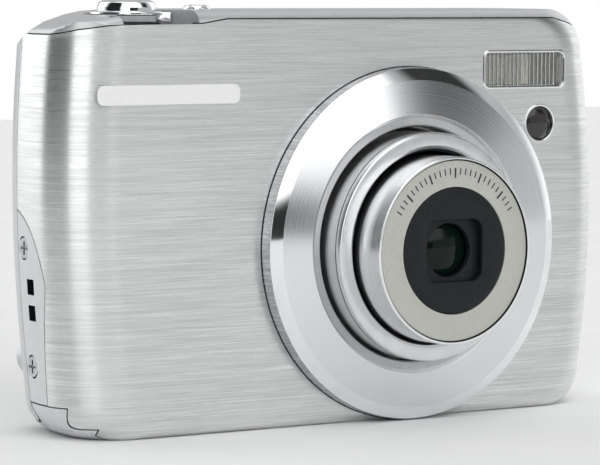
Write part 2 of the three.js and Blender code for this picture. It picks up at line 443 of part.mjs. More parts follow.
// ---- Rear keys ----
const keyTop = BACK + 0.7;
add("navigation_ring", cut(turned([[KEYS.ok + 0.3, keyTop - 0.5], [KEYS.ring - 0.6, keyTop],
  [KEYS.ring, keyTop - 0.5], [KEYS.ring, BACK - 1.8],
  [KEYS.ok + 0.3, BACK - 1.8]], 44, KEYS.z, KEYS.x)), SILVER);
add("navigation_rubber", turned([[KEYS.ok + 0.5, BACK - 2.1], [KEYS.ring - 1.4, BACK - 2.1],
  [KEYS.ring - 1.4, BACK - 3.2], [KEYS.ok + 0.5, BACK - 3.2]], 28, KEYS.z, KEYS.x), WHITE);
add("ok_button", turned([[0, keyTop], [KEYS.ok - 0.5, keyTop], [KEYS.ok, keyTop - 0.4],
  [KEYS.ok, BACK - 2.6], [0, BACK - 2.6]], 32, KEYS.z, KEYS.x), SILVER);
for (const [name, [x, z]] of Object.entries(FUNCTION_KEYS)) {
  add(name, turned([[0, BACK + 0.5], [KEY_R - 0.4, BACK + 0.5], [KEY_R, BACK + 0.1], [KEY_R, BACK - 2.4],
    [0, BACK - 2.4]], 24, z, x), SILVER);
}

// ---- Base, sockets and sound ----
add("tripod_bush", turnedUp([[TRIPOD.r, 0.05], [4.3, 0.05], [4.3, 2.2], [5.2, 2.2], [5.2, 7.4],
  [TRIPOD.r, 7.4]], TRIPOD.x, TRIPOD.y, 32), BRASS);
add("usb_socket", cut(prismX(roundedBox(-3.8, 14.5, 2.9, 7.8, 0.6, 3), 39.8, 44.2),
  prismX(roundedBox(-3.8, 14.5, 2.3, 7.2, 0.4, 3), 41, 46)), STEEL);
add("speaker", cylinderY(-2, 49.6, 4.4, -6.0, -2.6, 24), BLACK);

export default camera;
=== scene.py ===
"""Looks for the compact digital camera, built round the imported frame. Lengths in this script are millimetres
until mesh_object() turns them into metres. +X is right seen from the front, +Y runs back, +Z is up."""
import json
import math

import bmesh
import bpy
import numpy as np
from mathutils import Matrix, Vector


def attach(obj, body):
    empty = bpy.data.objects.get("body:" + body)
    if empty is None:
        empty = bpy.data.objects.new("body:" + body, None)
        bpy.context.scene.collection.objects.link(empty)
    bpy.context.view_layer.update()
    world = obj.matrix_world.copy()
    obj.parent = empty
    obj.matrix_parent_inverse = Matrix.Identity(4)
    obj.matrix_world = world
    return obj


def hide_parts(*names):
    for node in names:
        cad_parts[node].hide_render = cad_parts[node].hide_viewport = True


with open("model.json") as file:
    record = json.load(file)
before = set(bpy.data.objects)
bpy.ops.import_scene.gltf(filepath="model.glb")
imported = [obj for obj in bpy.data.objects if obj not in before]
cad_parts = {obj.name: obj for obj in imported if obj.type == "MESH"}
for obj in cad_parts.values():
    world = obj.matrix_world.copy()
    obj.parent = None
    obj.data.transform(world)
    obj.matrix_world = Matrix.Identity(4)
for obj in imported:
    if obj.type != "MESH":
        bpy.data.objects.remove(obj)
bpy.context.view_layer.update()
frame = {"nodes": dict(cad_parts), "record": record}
MM = 0.001
SCENE = bpy.context.scene

# ---------------------------------------------------------------- dimensions
HEIGHT, FRONT, BACK = 57.0, -12.0, 10.0    # base to top, front face, back face
SEAM = 1.6                                 # y of the joint between the front and rear covers
LEFT, RIGHT = -45.6, 46.8
WALL = 1.2
GAP = 0.16                                 # width of the joint lines between covers
FAR = 60                                   # beyond every side of the body
SMALL = 1e-6
LENS = (10.0, 24.6)                        # (x, z) of the lens ring; the barrels hang a little
BARREL_1 = (10.0, 24.4)
BARREL_2 = (10.0, 24.2)
LENS_HOLE, RIM = 17.1, 24.6                # radii of the opening in the skin and of the ring's foot
FLASH = (30.6, 48.5, 14.4, 5.0)            # x, z, width, height
LAMP = (33.4, 40.8)
LAMP_HOLE = 2.55
SHUTTER = (-30.5, -3.2)                    # (x, y) of the shutter button and the zoom ring
POCKET = 5.9                               # radius of the pocket round the zoom ring
POCKET_FLOOR = 55.0
POWER = (-18.6, -2.2)
SCREEN = (13.2, 28.5)
NAVIGATION = (-31.0, 24.0)
KEYS = {"mode_button": (-37.2, 38.4), "playback_button": (-24.8, 38.4),
        "menu_button": (-37.2, 9.6), "delete_button": (-24.8, 9.6)}
KEY_HOLE = 2.9
TRIPOD = (35.0, -5.2, 4.5)                 # x, y, radius
SCREWS = ((-0.6, 25.3), (-0.9, 9.4))       # (y, z) on the grip side
STRAP_SLOTS = (20.2, 16.7)                 # z of the two slots
HINGE_PIN = (-13.05, 0.85)                 # (x, z) of the battery door's hinge
DOOR_PLATE = (-9.4, 5.2)                   # front and back edge of the door on the underside


# ---------------------------------------------------------------- materials
def new_material(name):
    material = bpy.data.materials.new(name)
    material.use_nodes = True
    tree = material.node_tree
    shader = tree.nodes["Principled BSDF"]
    return material, tree, shader


def node(tree, kind, inputs=None, **settings):
    made = tree.nodes.new(kind)
    for key, value in settings.items():
        setattr(made, key, value)
    for key, value in (inputs or {}).items():
        if isinstance(value, bpy.types.NodeSocket):
            tree.links.new(value, made.inputs[key])
        else:
            made.inputs[key].default_value = value
    return made


def coordinates(tree, scale):
    place = node(tree, "ShaderNodeTexCoord")
    return node(tree, "ShaderNodeMapping", {"Vector": place.outputs["Object"], "Scale": scale}).outputs["Vector"]


def noise(tree, scale, detail=3.0):
    vector = coordinates(tree, scale)
    return node(tree, "ShaderNodeTexNoise", {"Vector": vector, "Scale": 1.0, "Detail": detail,
                                             "Roughness": 0.55}).outputs["Fac"]


def remap(tree, value, low, high, to_low, to_high):
    return node(tree, "ShaderNodeMapRange", {"Value": value, "From Min": low, "From Max": high,
                                             "To Min": to_low, "To Max": to_high}).outputs["Result"]


def math_node(tree, operation, a, b):
    return node(tree, "ShaderNodeMath", {0: a, 1: b}, operation=operation).outputs[0]


def mixed(tree, *shares):
    """The weighted sum of several values, given as (value, weight) pairs."""
    total = math_node(tree, "MULTIPLY", *shares[-1])
    for value, weight in reversed(shares[:-1]):
        total = math_node(tree, "ADD", math_node(tree, "MULTIPLY", value, weight), total)
    return total


def tinted(tree, value, dark, light):
    mix = node(tree, "ShaderNodeMix", data_type="RGBA")
    tree.links.new(value, mix.inputs["Factor"])
    mix.inputs[6].default_value = (*dark, 1)
    mix.inputs[7].default_value = (*light, 1)
    return mix.outputs[2]


def surface(name, dark, light, rough, metal=0.0, grain=900, bump=0.1, distance=0.01, spread=0.06, specular=0.5):
    """A material whose colour, roughness and height all vary with one procedural grain."""
    material, tree, shader = new_material(name)
    value = noise(tree, grain if isinstance(grain, tuple) else (grain, grain, grain))
    tree.links.new(tinted(tree, remap(tree, value, 0.3, 0.7, 0, 1), dark, light), shader.inputs["Base Color"])
    tree.links.new(remap(tree, value, 0.25, 0.75, rough - spread, rough + spread), shader.inputs["Roughness"])
    shader.inputs["Metallic"].default_value = metal
    shader.inputs["Specular IOR Level"].default_value = specular
    if bump:
        relief = node(tree, "ShaderNodeBump", {"Strength": bump, "Distance": distance * MM, "Height": value})
        tree.links.new(relief.outputs["Normal"], shader.inputs["Normal"])
    return material


def brush(tree, shader, axis, amount):
    """Stretches reflections across the brushing, which runs round the axis."""
    shader.inputs["Metallic"].default_value = 1.0
    shader.inputs["Anisotropic"].default_value = amount
    shader.inputs["Anisotropic Rotation"].default_value = 0.25
    tangent = node(tree, "ShaderNodeTangent", direction_type="RADIAL", axis=axis)
    tree.links.new(tangent.outputs["Tangent"], shader.inputs["Tangent"])


def brushed_skin():
    """Aluminium brushed along its length: three sizes of streak in colour, roughness and height."""
    material, tree, shader = new_material("brushed_aluminium")
    fine = noise(tree, (120, 120, 9000), 2.0)
    middle = noise(tree, (90, 90, 4600), 3.0)
    coarse = noise(tree, (40, 40, 1900), 3.0)
    cloud = noise(tree, (9, 9, 30), 2.0)
    streak = mixed(tree, (fine, 0.35), (middle, 0.4), (coarse, 0.25))
    shade = remap(tree, mixed(tree, (streak, 0.85), (cloud, 0.15)), 0.38, 0.62, 0, 1)
    tree.links.new(tinted(tree, shade, (0.60, 0.61, 0.61), (0.86, 0.87, 0.865)), shader.inputs["Base Color"])
    tree.links.new(remap(tree, streak, 0.38, 0.62, 0.36, 0.24), shader.inputs["Roughness"])
    brush(tree, shader, "Z", 0.6)
    relief = node(tree, "ShaderNodeBump", {"Strength": 0.35, "Distance": 0.03 * MM, "Height": streak})
    tree.links.new(relief.outputs["Normal"], shader.inputs["Normal"])
    return material


BRUSHED = brushed_skin()
SILVER = surface("silver_satin", (0.60, 0.61, 0.62), (0.63, 0.64, 0.65), 0.33, 0.6, 700, 0.0, spread=0.02)
PLATE = surface("plate_satin", (0.70, 0.71, 0.72), (0.73, 0.74, 0.75), 0.30, 0.4, 500, 0.0, spread=0.02)
CHROME = surface("polished_chrome", (0.83, 0.84, 0.85), (0.90, 0.91, 0.92), 0.06, 1.0, 260, 0.02, spread=0.02)
LIP = surface("lip_satin", (0.52, 0.53, 0.54), (0.58, 0.59, 0.60), 0.36, 0.9, 900, 0.05)


def turned_satin():
    """A face turned on a lathe: fine rings about the lens axis, which smear reflections along the radius."""
    material, tree, shader = new_material("turned_satin")
    place = node(tree, "ShaderNodeTexCoord")
    offset = node(tree, "ShaderNodeVectorMath", {0: place.outputs["Object"], 1: (LENS[0] * MM, 0, LENS[1] * MM)},
                  operation="SUBTRACT")
    flat = node(tree, "ShaderNodeVectorMath", {0: offset.outputs[0], 1: (1, 0, 1)}, operation="MULTIPLY")
    radius = node(tree, "ShaderNodeVectorMath", {0: flat.outputs[0]}, operation="LENGTH").outputs["Value"]
    rings = node(tree, "ShaderNodeTexNoise", {"W": math_node(tree, "MULTIPLY", radius, 9000.0), "Scale": 1.0,
                                              "Detail": 3.0}, noise_dimensions="1D").outputs["Fac"]
    tree.links.new(tinted(tree, remap(tree, rings, 0.3, 0.7, 0, 1), (0.74, 0.75, 0.77), (0.86, 0.87, 0.88)),
                   shader.inputs["Base Color"])
    tree.links.new(remap(tree, rings, 0.3, 0.7, 0.20, 0.25), shader.inputs["Roughness"])
    brush(tree, shader, "Y", 0.9)
    outward = node(tree, "ShaderNodeVectorMath", {0: flat.outputs[0]}, operation="NORMALIZE")
    lean = node(tree, "ShaderNodeVectorMath", {0: outward.outputs[0], "Scale": 0.24}, operation="SCALE")
    facing = node(tree, "ShaderNodeNewGeometry")
    leaning = node(tree, "ShaderNodeVectorMath", {0: facing.outputs["Normal"], 1: lean.outputs[0]}, operation="ADD")
    unit = node(tree, "ShaderNodeVectorMath", {0: leaning.outputs[0]}, operation="NORMALIZE")
    tree.links.new(unit.outputs[0], shader.inputs["Normal"])
    return material


RING_SATIN = turned_satin()
RING_WALL = surface("ring_wall", (0.36, 0.37, 0.38), (0.62, 0.63, 0.64), 0.26, 1.0, (3800, 120, 3800))
BARREL = surface("barrel_satin", (0.72, 0.73, 0.74), (0.80, 0.81, 0.82), 0.24, 1.0, (500, 2600, 500), 0.06,
                 spread=0.03)
CHAMPAGNE = surface("champagne", (0.50, 0.51, 0.47), (0.56, 0.57, 0.52), 0.42, 0.45, 3200)
BLACK = surface("black_satin", (0.010, 0.011, 0.012), (0.017, 0.018, 0.020), 0.42, 0.0, 2600, 0.12, specular=0.2)
GAP_BLACK = surface("matt_black", (0.006, 0.006, 0.007), (0.012, 0.012, 0.013), 0.7, 0.0, 1800)
FIN_PALE = surface("fin_pale", (0.30, 0.30, 0.26), (0.38, 0.38, 0.33), 0.4, 0.2, 900, 0.05)
FIN_BRIGHT = surface("fin_bright", (0.72, 0.72, 0.66), (0.80, 0.80, 0.74), 0.4, 0.1, 900, 0.05)
FIN_DARK = surface("fin_dark", (0.05, 0.05, 0.05), (0.09, 0.09, 0.08), 0.4, 0.1, 900, 0.05)
POCKET_GREY = surface("pocket_grey", (0.42, 0.43, 0.44), (0.50, 0.51, 0.52), 0.4, 0.0, 900, 0.0)
INK = surface("black_ink", (0.02, 0.02, 0.02), (0.035, 0.035, 0.035), 0.5, 0.0, 3000, 0.0)
WHITE = surface("white_enamel", (0.84, 0.84, 0.84), (0.87, 0.87, 0.87), 0.3, 0.0, 1600, 0.0, spread=0.02)
STEEL = surface("plain_steel", (0.42, 0.43, 0.44), (0.60, 0.61, 0.62), 0.33, 1.0, 900, 0.1, 0.02)
BRASS = surface("plain_brass", (0.55, 0.41, 0.17), (0.68, 0.52, 0.24), 0.32, 1.0, 1200, 0.1, 0.02)
BOARD = surface("circuit_board", (0.02, 0.10, 0.05), (0.04, 0.17, 0.08), 0.5, 0.0, 600, 0.1, 0.03)
NYLON = surface("moulded_nylon", (0.70, 0.69, 0.64), (0.80, 0.79, 0.75), 0.48, 0.0, 1500, 0.1, 0.02)
WRAP = surface("battery_wrap", (0.03, 0.05, 0.09), (0.06, 0.08, 0.13), 0.42, 0.0, 1200, 0.06, 0.02)
RUBBER = surface("silicone", (0.55, 0.55, 0.53), (0.65, 0.65, 0.63), 0.65, 0.0, 1800, 0.15, 0.02)


def glass(name, color, rough=0.03, transmission=0.0, coat=1.0, specular=0.5):
    """A glossy window whose tint and roughness are very slightly uneven."""
    material, tree, shader = new_material(name)
    value = noise(tree, (300, 300, 300), 2.0)
    dark = tuple(c * 0.9 for c in color)
    light = tuple(c * 1.1 for c in color)
    tree.links.new(tinted(tree, value, dark, light), shader.inputs["Base Color"])
    tree.links.new(remap(tree, value, 0.2, 0.8, rough * 0.7, rough * 1.3), shader.inputs["Roughness"])
    shader.inputs["Transmission Weight"].default_value = transmission
    shader.inputs["Coat Weight"].default_value = coat
    shader.inputs["Coat Roughness"].default_value = 0.02
    shader.inputs["Specular IOR Level"].default_value = specular
    return material


LENS_GLASS = glass("lens_glass", (0.003, 0.009, 0.007), coat=0.0, specular=0.22)
SMOKED = glass("smoked_window", (0.05, 0.045, 0.045), 0.05, transmission=0.6, coat=0.3)
SCREEN_GLASS = glass("screen_glass", (0.012, 0.013, 0.015), 0.05)
DISPLAY = glass("display_glass", (0.03, 0.034, 0.04), 0.08)
CLEAR = glass("clear_window", (0.92, 0.93, 0.90), 0.02, transmission=0.95)

NODE_LOOK = {
    "brushed_metal": BRUSHED, "silver_plastic": SILVER, "polished_metal": CHROME, "satin_metal": BARREL,
    "champagne_metal": CHAMPAGNE, "black_plastic": BLACK, "lens_glass": LENS_GLASS, "clear_plastic": CLEAR,
    "steel": STEEL, "brass": BRASS, "circuit_board": BOARD, "nylon": NYLON, "battery_wrap": WRAP,
    "white_plastic": WHITE, "rubber": RUBBER,
}
for part in frame["record"]["subparts"]:
    body_mesh = frame["nodes"][part["node"]].data
    body_mesh.materials.clear()
    body_mesh.materials.append(NODE_LOOK[part["material_slot"]])


# ---------------------------------------------------------------- mesh helpers
def mesh_object(name, verts, faces, materials, body=None, replaces=(), face_materials=None, sharp=35):
    mesh = bpy.data.meshes.new(name)
    mesh.from_pydata([tuple(c * MM for c in v) for v in verts], [], faces)
    made = bpy.data.objects.new(name, mesh)
    SCENE.collection.objects.link(made)
    for material in materials if isinstance(materials, (list, tuple)) else [materials]:
        mesh.materials.append(material)
    if face_materials is not None:
        mesh.polygons.foreach_set("material_index", face_materials)
    turn_outwards(mesh)
    smooth(mesh, sharp)
    if body:
        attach(made, body)
    if replaces:
        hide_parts(*replaces)
    return made


def turn_outwards(mesh):
    work = bmesh.new()
    work.from_mesh(mesh)
    bmesh.ops.recalc_face_normals(work, faces=work.faces)
    work.to_mesh(mesh)
    work.free()


def smooth(mesh, sharp):
    mesh.shade_smooth()
    mesh.set_sharp_from_angle(angle=math.radians(sharp))


def fillet(points, steps=4, closed=True):
    """Rounds a polygon. Each point is (a, b) or (a, b, radius)."""
    out, count = [], len(points)
    for i, p in enumerate(points):
        radius = p[2] if len(p) > 2 else 0
        if not radius or (not closed and i in (0, count - 1)):
            out.append((p[0], p[1]))
            continue
        here = Vector(p[:2])
        before = Vector(points[i - 1][:2]) - here
        after = Vector(points[(i + 1) % count][:2]) - here
        d0, d1 = before.normalized(), after.normalized()
        half = d0.angle(d1) / 2
        reach = min(radius / math.tan(half), before.length * 0.49, after.length * 0.49)
        r = reach * math.tan(half)
        middle = here + (d0 + d1).normalized() * (r / math.sin(half))
        start, end = here + d0 * reach - middle, here + d1 * reach - middle
        turn = start.angle_signed(end)
        for k in range(steps + 1):
            a = -turn * k / steps
            out.append((middle.x + start.x * math.cos(a) - start.y * math.sin(a),
                        middle.y + start.x * math.sin(a) + start.y * math.cos(a)))
    return out


def lathe(name, profile, centre, materials, body, replaces=(), looks=None, sides=160, axis="Y",
          sharp=35, steps=4):
    """A body turned about an axis from (radius, distance along the axis) points; radius 0 closes on the axis.
    looks gives each profile point the material of the band that starts there."""
    rounded, bands = [], []
    closed = all(p[0] > SMALL for p in profile)
    for point, source in fillet_marked(profile, steps, closed):
        rounded.append(point)
        bands.append(looks[source] if looks else 0)
    verts, faces, marks, rows = [], [], [], []
    for r, h in rounded:
        if r < SMALL:
            rows.append([len(verts)])
            verts.append(place_turned(0, h, 0, centre, axis))
            continue
        rows.append(list(range(len(verts), len(verts) + sides)))
        for k in range(sides):
            verts.append(place_turned(r, h, 2 * math.pi * k / sides, centre, axis))
    for i in range(len(rows) if closed else len(rows) - 1):
        a, b = rows[i], rows[(i + 1) % len(rows)]
        for k in range(sides):
            n = (k + 1) % sides
            if len(a) == 1 and len(b) == 1:
                continue
            if len(a) == 1:
                faces.append((a[0], b[k], b[n]))
            elif len(b) == 1:
                faces.append((a[k], b[0], a[n]))
            else:
                faces.append((a[k], b[k], b[n], a[n]))
            marks.append(bands[i])
    return mesh_object(name, verts, faces, materials, body, replaces, marks, sharp)


def fillet_marked(profile, steps, closed):
    """fillet(), with the index of the profile point that each made point comes from."""
    out, count = [], len(profile)
    for i in range(count):
        window = [profile[i - 1], profile[i], profile[(i + 1) % count]]
        if not closed and i in (0, count - 1):
            out.append(((profile[i][0], profile[i][1]), i))
            continue
        made = fillet(window, steps, True)
        plain = 1 if len(window[0]) < 3 or not window[0][2] else steps + 1
        size = 1 if len(window[1]) < 3 or not window[1][2] else steps + 1
        for point in made[plain:plain + size]:
            out.append((point, i))
    return out


def place_turned(r, h, angle, centre, axis):
    a, b = r * math.cos(angle), r * math.sin(angle)
    if axis == "Y":
        return (centre[0] + a, h, centre[1] + b)
    return (centre[0] + a, centre[1] + b, h)


def boolean(target, cutter, operation="DIFFERENCE"):
    step = target.modifiers.new("cut", "BOOLEAN")
    step.operation = operation
    step.object = cutter
    step.solver = "MANIFOLD"
    bpy.context.view_layer.update()
    made = bpy.data.meshes.new_from_object(target.evaluated_get(bpy.context.evaluated_depsgraph_get()))
    target.modifiers.clear()
    old = target.data
    target.data = made
    bpy.data.meshes.remove(old)


def drop(*objects):
    for o in objects:
        mesh = o.data
        bpy.data.objects.remove(o)
        bpy.data.meshes.remove(mesh)


def prism(points, low, high, axis, name="cutter", material=BLACK, body=None, replaces=()):
    """A plain closed prism: points are (y, z) across X, (x, z) across Y and (x, y) across Z."""
    order = {"X": lambda p, t: (t, p[0], p[1]), "Y": lambda p, t: (p[0], t, p[1]),
             "Z": lambda p, t: (p[0], p[1], t)}[axis]
    count = len(points)
    verts = [order(p, low) for p in points] + [order(p, high) for p in points]
    faces = [tuple(range(count)), tuple(range(2 * count - 1, count - 1, -1))]
    faces += [(k, (k + 1) % count, (k + 1) % count + count, k + count) for k in range(count)]
    return mesh_object(name, verts, faces, material, body, replaces)


def shrink(outline, inset):
    """Moves each point of a convex outline inwards by inset."""
    pts = np.array(outline, float)
    ahead, behind = np.roll(pts, -1, 0), np.roll(pts, 1, 0)
    t = ahead - behind
    t /= np.linalg.norm(t, axis=1, keepdims=True) + 1e-12
    area = np.sum(pts[:, 0] * ahead[:, 1] - ahead[:, 0] * pts[:, 1])
    normal = np.stack([-t[:, 1], t[:, 0]], 1) * (1 if area > 0 else -1)
    return (pts + normal * inset).tolist()


def rounded_rectangle(x, z, w, h, r, steps=6):
    corners = [(x - w / 2, z - h / 2), (x + w / 2, z - h / 2), (x + w / 2, z + h / 2), (x - w / 2, z + h / 2)]
    return fillet([(*corner, r) for corner in corners], steps)


def circle(x, z, r, sides=96):
    angles = [2 * math.pi * k / sides for k in range(sides)]
    return [(x + r * math.cos(a), z + r * math.sin(a)) for a in angles]


# ---------------------------------------------------------------- body form
def arc(cx, cy, rx, ry, start, end, steps):
    angles = [math.radians(start + (end - start) * k / steps) for k in range(steps + 1)]
    return [(cx + rx * math.cos(a), cy + ry * math.sin(a)) for a in angles]


def bow(start, bend, end, steps):
    out = []
    for k in range(steps + 1):
        t = k / steps
        out.append(tuple((1 - t) ** 2 * start[i] + 2 * t * (1 - t) * bend[i] + t * t * end[i] for i in (0, 1)))
    return out


def resample(points, count):
    pts = np.array(points + [points[0]], float)
    steps = np.linalg.norm(np.diff(pts, axis=0), axis=1)
    along = np.concatenate([[0], np.cumsum(steps)])
    at = np.linspace(0, along[-1], count, endpoint=False)
    return np.stack([np.interp(at, along, pts[:, 0]), np.interp(at, along, pts[:, 1])], 1)


GRIP_SIDE = bow((-45.0, 50), (-46.7, 29), (-43.6, 5.4), 40)      # the bowed side of the grip, from the top down
GRIP_SHOULDER = [(0, 57), (-20, 57, 6), (-27, 56.9, 8), (-36.5, 56.3, 8), (-42.6, 55.4, 0.8), (-44.3, 54.3, 0.8),
                 (-44.7, 53.4, 1), (-45.0, 50)]
OUTLINE = resample(
    arc(39.6, 5.4, 5.2, 5.4, 270, 360, 24) + bow((44.8, 5.4), (48.6, 28), (44.8, 50.2), 40)[1:]
    + arc(38.4, 50.4, 6.4, 6.6, 0, 90, 28) + fillet(GRIP_SHOULDER, 6, False)[1:]
    + GRIP_SIDE[1:] + arc(-38.6, 5.4, 5.0, 5.4, 180, 270, 24)[1:], 620)
# x of the grip side for each height, used where the shoulder lies inside it
SIDE_LINE = [(0.0, -43.6), (5.4, -43.6)] + [(z, x) for x, z in bow((-43.6, 5.4), (-46.7, 29), (-45.0, 50), 30)[1:]]
SIDE_LINE += [(53.4, -44.75), (60, -44.75)]
# distances of the cross sections from the front and back faces, closer together where the edges are rounded
FROM_FRONT = [0.0, 0.004, 0.015, 0.035, 0.07, 0.12, 0.18, 0.25, 0.34, 0.45, 0.6, 0.78, 1.0, 1.25, 1.55, 1.9, 2.3,
              2.8, 3.4, 4.1, 4.9, 5.8, 6.8, 7.4, 8.4]
FROM_BACK = [0.0, 0.01, 0.04, 0.1, 0.2, 0.34, 0.52, 0.75, 1.05, 1.4, 1.8, 2.3, 2.9, 3.6, 4.4, 5.3, 6.3, 7.6, 9.0,
             10.5, 12]


def quarter(distance, depth, size):
    """How far an edge rounded as a quarter ellipse is set in, at a distance from the end face."""
    share = min(max(1 - distance / depth, 0), 1)
    return size * (1 - math.sqrt(1 - share * share))


def section(y, inset=0.0):
    """The body's outline at one y: top and bottom edges rounded, and both ends drawn in along the plan curve."""
    front, back = y - FRONT, BACK - y
    top = quarter(front, 2.2, 1.7) + quarter(back, 1.6, 1.5) + inset
    base = quarter(front, 1.5, 1.4) + quarter(back, 1.5, 1.5) + inset
    left = quarter(front, 7.0, 8.6) + quarter(back, 15.0, 8.6)
    right = quarter(front, 7.6, 7.6) + quarter(back, 6.0, 6.0)
    x, z, middle = OUTLINE[:, 0], OUTLINE[:, 1], HEIGHT / 2
    heights, sides = zip(*SIDE_LINE)
    drawn_right = x - right * np.clip((x - 18) / 20, 0, 1)
    drawn_left = x + left * np.clip((-20 - x) / 18.6, 0, 1)
    shoulder_left = np.maximum(x, np.interp(z, heights, sides) + left)
    x = np.where(x > 0, drawn_right, np.where(z > 40, shoulder_left, drawn_left))
    edge = np.where(z < middle, base, top)
    z = middle + (z - middle) * (middle - edge) / middle
    return [(a, y, b) for a, b in zip(x * (RIGHT - inset) / RIGHT, z)]


def solid_form(inset):
    """The whole body as one closed solid: the front outline swept back with rounded edges and ends."""
    rows = [FRONT + step for step in FROM_FRONT] + [BACK - step for step in reversed(FROM_BACK)]
    low, high = FRONT + inset, BACK - inset
    count = len(OUTLINE)
    verts, faces = [], []
    for y in rows:
        verts += [(x, low + (y - FRONT) * (high - low) / (BACK - FRONT), z) for x, _, z in section(y, inset)]
    for i in range(len(rows) - 1):
        for k in range(count):
            n = (k + 1) % count
            faces.append((i * count + k, (i + 1) * count + k, (i + 1) * count + n, i * count + n))
    faces.append(tuple(range(count)))
    faces.append(tuple(range(len(rows) * count - 1, (len(rows) - 1) * count - 1, -1)))
    return mesh_object("form", verts, faces, SILVER)


def hexahedron(corners):
    faces = [(0, 3, 2, 1), (4, 5, 6, 7), (0, 1, 5, 4), (1, 2, 6, 5), (2, 3, 7, 6), (3, 0, 4, 7)]
    return mesh_object("cutter", corners, faces, BLACK)


def box(x0, x1, y0, y1, z0, z1):
    return hexahedron([(x0, y0, z0), (x1, y0, z0), (x1, y1, z0), (x0, y1, z0),
                       (x0, y0, z1), (x1, y0, z1), (x1, y1, z1), (x0, y1, z1)])


def scoop(inset):
    """A slanting block that scoops away the lower rear of the grip side, more deeply towards the base."""
    def near(x, z):
        return [(-FAR, 1.1, z), (x + inset, 1.1, z), (x + inset + 6.4, 12, z), (-FAR, 12, z)]
    return hexahedron(near(-43.9, -1) + near(-45.9, 30.4))


def shoulder(inset):
    """A block whose slanting underside is the shoulder falling from the shutter island to the grip side."""
    def height(x, y):
        return 55.4 - inset + 0.5 * (x + 42.7) - 0.45 * (y + 2)
    quad = [(-FAR, -2), (-20, -2), (-20, 14), (-FAR, 14)]
    return hexahedron([(x, y, height(x, y)) for x, y in quad] + [(x, y, 80) for x, y in quad])


def copy_of(source, name, look=None):
    made = bpy.data.objects.new(name, source.data.copy())
    SCENE.collection.objects.link(made)
    if look:
        made.data.materials.clear()
        made.data.materials.append(look)
    return made


def carve(target, *cutters):
    for cutter in cutters:
        boolean(target, cutter)
        drop(cutter)


def only(target, cutter):
    boolean(target, cutter, "INTERSECT")
    drop(cutter)


def join(target, *others):
    for other in others:
        boolean(target, other, "UNION")
        drop(other)


def finish_piece(piece, body, replaces, sharp=28):
    turn_outwards(piece.data)
    smooth(piece.data, sharp)
    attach(piece, body)
    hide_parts(*replaces)
    return piece


BODY = solid_form(0)
carve(BODY, scoop(0), shoulder(0))
CORE = solid_form(WALL)
carve(CORE, scoop(WALL), shoulder(WALL))
SHELL = copy_of(BODY, "shell", SILVER)
boolean(SHELL, CORE)

TOP_LINE = [(-FAR, 53.2), (-44.9, 53.75), (-42.2, 54.5), (-38.5, 55.05), (-33.6, 55.2), (-24, 55.3), (-20, 55.9),
            (36, 55.9), (41, 54.8)]


# ---------------------------------------------------------------- zones of the covers
def top_zone(grow):
    line = [(x, z - grow) for x, z in TOP_LINE]
    return prism(line + [(41 + grow, 70), (-FAR, 70)], FRONT - 1, 7 + grow, "Y")


def side_zone(grow):
    """The grip side plate seen from the side, with its pointed top."""
    tip = bow((1.4, 30.2 + grow), (-4.6 - grow, 28.9 + grow), (-6.1 - grow, 20.5), 20)
    line = [(-4.2 - grow, 4.5 - grow), (4, 4.5 - grow), (4, 30.2 + grow)] + tip + [(-4.9 - grow, 11)]
    return prism(line, -FAR, -36, "X")


def corner_zone(grow):
    """The lower corner of the grip side, which belongs to the battery door."""
    rise = bow((-41.0, 1.5 + grow), (-42.5, 1.6 + grow), (-42.7 + grow / 2, 4.3 + grow), 12)
    line = [(-39.3 + grow, -2), (-39.3 + grow, 1.5 + grow)] + rise + [(-FAR, 4.3 + grow), (-FAR, -2)]
    return prism(line, FRONT - 2, BACK + 2, "Y")


def plate_zone(grow):
    """The door's plate on the underside."""
    return box(-FAR, -12 + grow, DOOR_PLATE[0] - grow, DOOR_PLATE[1] + grow, -2, 1.4 + grow)


def front_half():
    return box(-FAR, FAR, FRONT - 2, SEAM - GAP / 2, -2, FAR)


def rear_half():
    return box(-FAR, FAR, SEAM + GAP / 2, BACK + 2, -2, FAR)


def front_hole(outline):
    return prism(outline, FRONT - 1, FRONT + 3, "Y")


def back_hole(outline):
    return prism(outline, BACK - 3, BACK + 1, "Y")


# ---------------------------------------------------------------- covers
def front_skin():
    piece = copy_of(SHELL, "front_skin", BRUSHED)
    only(piece, front_half())
    carve(piece, top_zone(GAP), side_zone(GAP), corner_zone(GAP), plate_zone(GAP),
          front_hole(circle(*LENS, LENS_HOLE)), front_hole(rounded_rectangle(*FLASH, 0.9)),
          front_hole(circle(*LAMP, LAMP_HOLE)),
          box(40, FAR, -5.4, -2.2, 10.4, 18.6),
          prism(circle(*TRIPOD), -1, 2, "Z"))
    finish_piece(piece, "camera_body", ["front_shell"])


def rear_cover():
    piece = copy_of(SHELL, "rear_cover", SILVER)
    only(piece, rear_half())
    carve(piece, top_zone(GAP), corner_zone(GAP), plate_zone(GAP),
          back_hole(rounded_rectangle(*SCREEN, 59, 47, 1.6)), back_hole(circle(*NAVIGATION, 8.85)),
          *[back_hole(circle(*place, KEY_HOLE)) for place in KEYS.values()])
    finish_piece(piece, "camera_body", ["rear_shell"])


